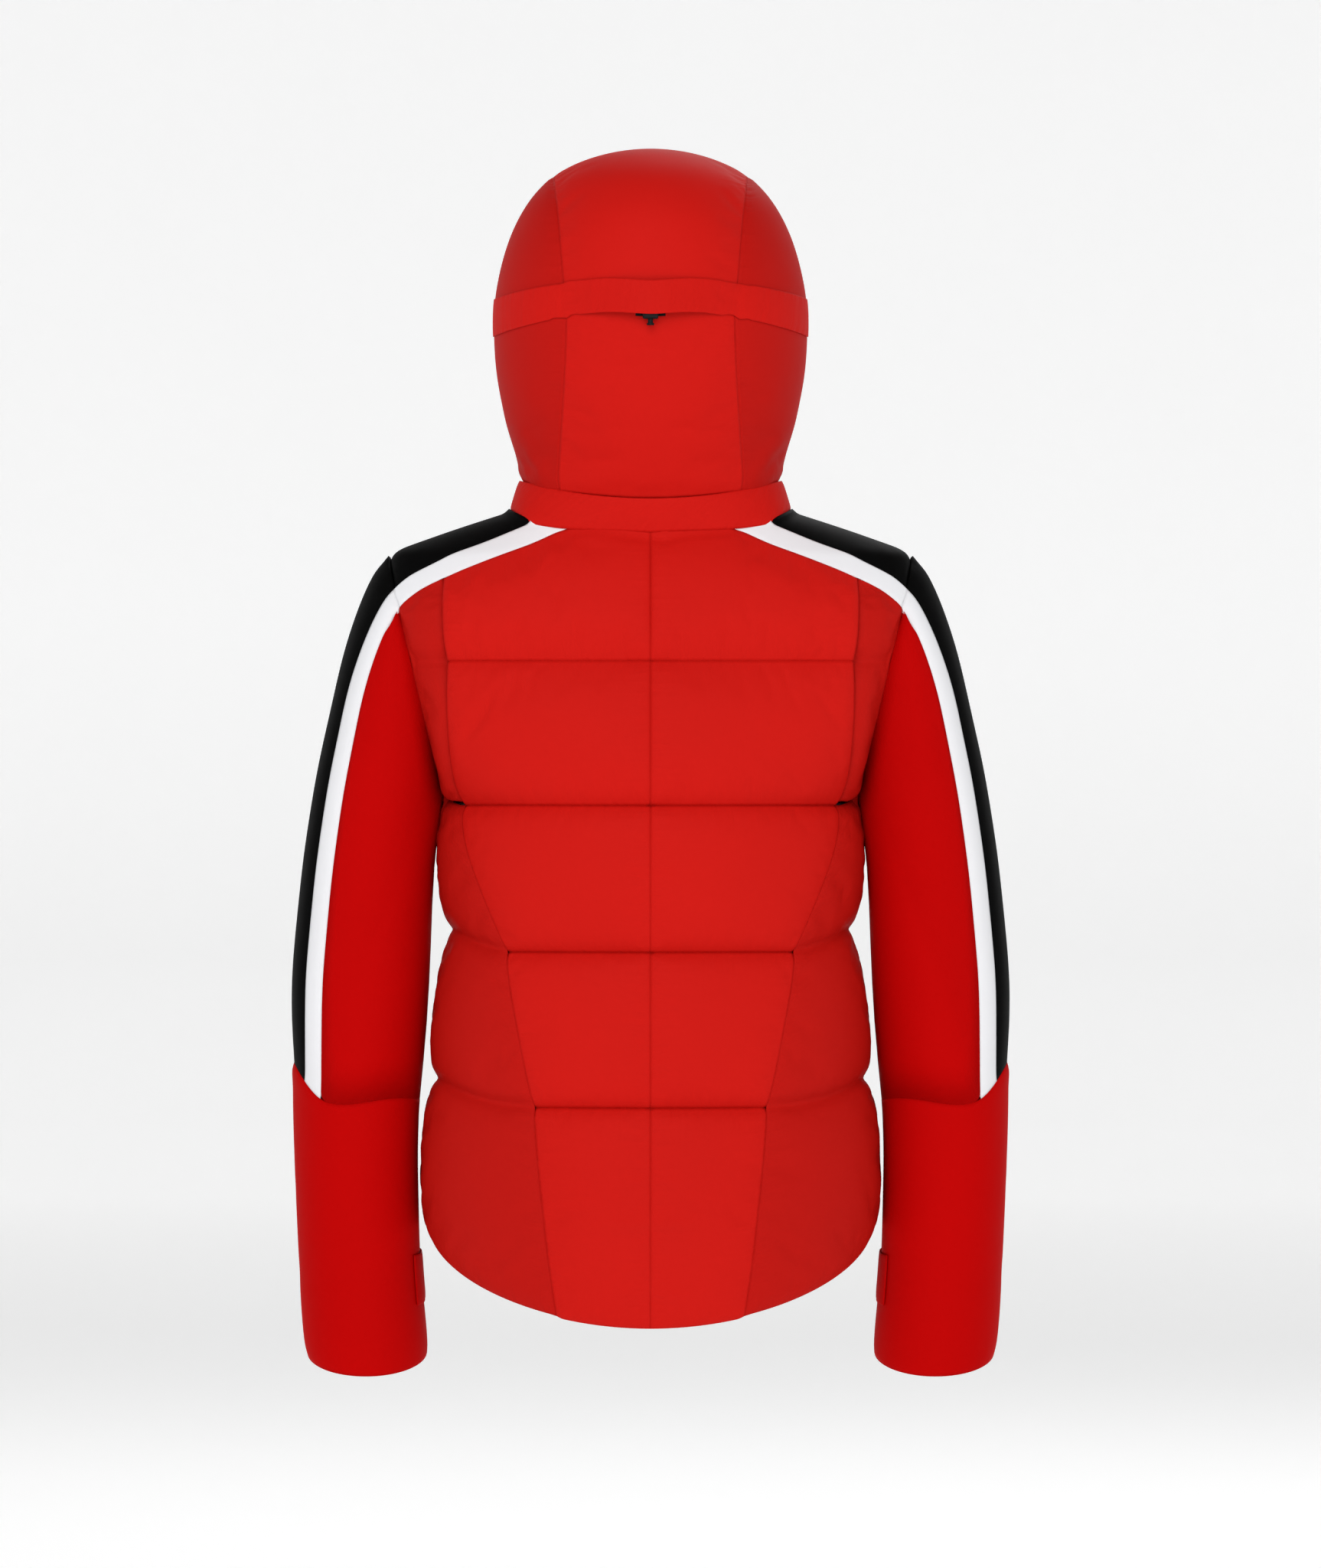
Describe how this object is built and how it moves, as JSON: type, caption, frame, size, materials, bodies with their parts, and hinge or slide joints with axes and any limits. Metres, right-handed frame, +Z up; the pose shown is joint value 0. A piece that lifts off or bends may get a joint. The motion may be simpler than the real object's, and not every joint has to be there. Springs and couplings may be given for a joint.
{
  "type": "ski jacket",
  "caption": "Padded hooded ski jacket with quilted back, striped shoulders and sleeves, front zip and two zipped hand pockets.",
  "frame": {"origin": "middle of the hanger loop's root, inside the back neck seam", "axes": "+Z up along the back, +Y out of the chest, +X towards the wearer's right arm"},
  "size_m": [0.6056, 0.2951, 1.03],
  "materials": {
    "shell_red": "matt coated polyester, padded",
    "shell_red_side": "matt coated polyester, padded, deeper red",
    "shell_red_sleeve": "matt coated polyester, padded",
    "shell_black": "matt coated polyester",
    "shell_white": "matt coated polyester",
    "zip_plastic": "moulded zip teeth on woven tape",
    "welt_black": "bonded welt with coil zip",
    "zip_metal": "satin black enamel",
    "binding": "folded binding",
    "elastic": "woven elastic",
    "lock_plastic": "moulded, fine texture",
    "lining": "smooth woven lining"
  },
  "bodies": {
    "torso": {"back_baffle_1_left": "shell_red", "back_baffle_2_left": "shell_red", "back_baffle_3_left": "shell_red", "back_baffle_4_left": "shell_red", "back_baffle_5_left": "shell_red", "back_side_upper_left": "shell_red_side", "back_side_lower_left": "shell_red_side", "front_upper_left": "shell_red", "front_lower_left": "shell_red", "shoulder_black_left": "shell_black", "shoulder_white_back_left": "shell_white", "shoulder_white_front_left": "shell_white", "zip_half_left": "zip_plastic", "pocket_welt_left": "welt_black", "back_baffle_1_right": "shell_red", "back_baffle_2_right": "shell_red", "back_baffle_3_right": "shell_red", "back_baffle_4_right": "shell_red", "back_baffle_5_right": "shell_red", "back_side_upper_right": "shell_red_side", "back_side_lower_right": "shell_red_side", "front_upper_right": "shell_red", "front_lower_right": "shell_red", "shoulder_black_right": "shell_black", "shoulder_white_back_right": "shell_white", "shoulder_white_front_right": "shell_white", "zip_half_right": "zip_plastic", "pocket_welt_right": "welt_black", "collar": "shell_red", "hanger_loop": "elastic", "lining_lower": "lining", "lining_upper": "lining"},
    "hood": {"hood_centre": "shell_red", "hood_side_left": "shell_red", "hood_side_right": "shell_red", "hood_base_band": "shell_red", "hood_adjuster_band": "shell_red", "hood_elastic": "elastic", "hood_rim": "binding", "cord_lock_body": "lock_plastic"},
    "hood_lock_button": {"cord_lock_button": "lock_plastic"},
    "main_slider": {"zip_slider": "zip_metal"},
    "main_pull": {"zip_pull": "zip_metal"},
    "sleeve_left": {"sleeve_black_left": "shell_black", "sleeve_white_back_left": "shell_white", "sleeve_white_front_left": "shell_white", "sleeve_upper_left": "shell_red_sleeve", "sleeve_forearm_left": "shell_red_sleeve", "cuff_tab_left": "shell_red_sleeve"},
    "pocket_slider_left": {"pocket_slider_left": "zip_metal"},
    "pocket_pull_left": {"pocket_pull_left": "zip_metal"},
    "sleeve_right": {"sleeve_black_right": "shell_black", "sleeve_white_back_right": "shell_white", "sleeve_white_front_right": "shell_white", "sleeve_upper_right": "shell_red_sleeve", "sleeve_forearm_right": "shell_red_sleeve", "cuff_tab_right": "shell_red_sleeve"},
    "pocket_slider_right": {"pocket_slider_right": "zip_metal"},
    "pocket_pull_right": {"pocket_pull_right": "zip_metal"}
  },
  "joints": [
    {"name": "hood_tip", "type": "hinge", "parent": "torso", "child": "hood", "pos_m": [0, -0.0125, 0.0015], "axis": [1, 0, 0], "range_deg": [0, 75]},
    {"name": "sleeve_left_raise", "type": "hinge", "parent": "torso", "child": "sleeve_left", "pos_m": [-0.2225, 0.066, -0.016], "axis": [0, 1, 0], "range_deg": [0, 50]},
    {"name": "sleeve_right_raise", "type": "hinge", "parent": "torso", "child": "sleeve_right", "pos_m": [0.2225, 0.066, -0.016], "axis": [0, -1, 0], "range_deg": [0, 50]},
    {"name": "main_zip_slide", "type": "slide", "parent": "torso", "child": "main_slider", "axis": [0, 0.0972, -0.9953], "range_m": [0, 0.6272]},
    {"name": "main_pull_swing", "type": "hinge", "parent": "main_slider", "child": "main_pull", "pos_m": [0, 0.15306, 0.03628], "axis": [1, 0, 0], "range_deg": [0, 150]},
    {"name": "hood_lock_press", "type": "slide", "parent": "hood", "child": "hood_lock_button", "axis": [0, 0, 1], "range_m": [0, 0.003], "stiffness_N_per_m": 300, "springref_m": -0.001},
    {"name": "pocket_zip_left_slide", "type": "slide", "parent": "torso", "child": "pocket_slider_left", "axis": [-0.0637, 0.0713, -0.9954], "range_m": [0, 0.133]},
    {"name": "pocket_pull_left_swing", "type": "hinge", "parent": "pocket_slider_left", "child": "pocket_pull_left", "pos_m": [-0.12216, 0.16444, -0.33688], "axis": [0.8291, 0.5589, -0.013], "range_deg": [0, 150]},
    {"name": "pocket_zip_right_slide", "type": "slide", "parent": "torso", "child": "pocket_slider_right", "axis": [0.0637, 0.0713, -0.9954], "range_m": [0, 0.133]},
    {"name": "pocket_pull_right_swing", "type": "hinge", "parent": "pocket_slider_right", "child": "pocket_pull_right", "pos_m": [0.12216, 0.16444, -0.33688], "axis": [0.8291, -0.5589, 0.013], "range_deg": [0, 150]}
  ]
}
